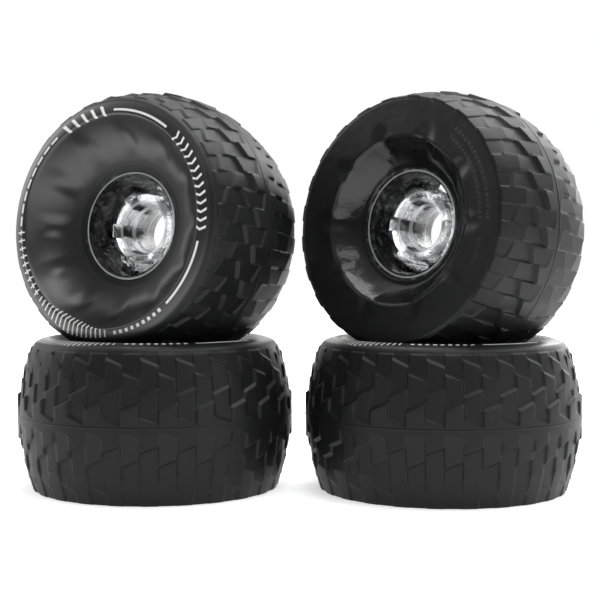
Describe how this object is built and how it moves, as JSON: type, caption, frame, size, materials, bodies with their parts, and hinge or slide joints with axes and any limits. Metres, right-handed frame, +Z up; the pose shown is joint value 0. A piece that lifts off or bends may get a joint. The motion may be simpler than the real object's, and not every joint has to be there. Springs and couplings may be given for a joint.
{
  "type": "all-terrain skateboard wheel set",
  "caption": "Stacked set of barrel-shaped all-terrain longboard wheels: black cast tyres with slanted stepped tread, dished faces, clear spoked hub cores with empty bearing seats.",
  "frame": {"origin": "middle of the set's bounding box seen from above, on the floor that the two lower wheels lie on", "axes": "+X from the left stack to the right stack, +Y away from the viewer, +Z up"},
  "size_m": [0.2494, 0.1254, 0.1732],
  "materials": {
    "tyre": "semi-gloss",
    "air_ring": "matte",
    "hub_core": "clear"
  },
  "bodies": {
    "lower_left_wheel": {"lower_left_tyre": "tyre", "lower_left_air_ring": "air_ring", "lower_left_hub_core": "hub_core"},
    "lower_right_wheel": {"lower_right_tyre": "tyre", "lower_right_air_ring": "air_ring", "lower_right_hub_core": "hub_core"},
    "upper_left_wheel": {"upper_left_tyre": "tyre", "upper_left_air_ring": "air_ring", "upper_left_hub_core": "hub_core"},
    "upper_right_wheel": {"upper_right_tyre": "tyre", "upper_right_air_ring": "air_ring", "upper_right_hub_core": "hub_core"}
  },
  "joints": [
    {"name": "upper_left_spin", "type": "hinge", "parent": "lower_left_wheel", "child": "upper_left_wheel", "pos_m": [-0.06269, 0.00602, 0.11243], "axis": [-0.5028, -0.857, 0.1132], "continuous": true},
    {"name": "right_stack_slide", "type": "slide", "parent": "lower_left_wheel", "child": "lower_right_wheel", "axis": [1, 0, 0], "range_m": [0, 0.1]},
    {"name": "upper_right_spin", "type": "hinge", "parent": "lower_right_wheel", "child": "upper_right_wheel", "pos_m": [0.06414, 0.00142, 0.11245], "axis": [0.6708, 0.7321, -0.1184], "continuous": true}
  ]
}
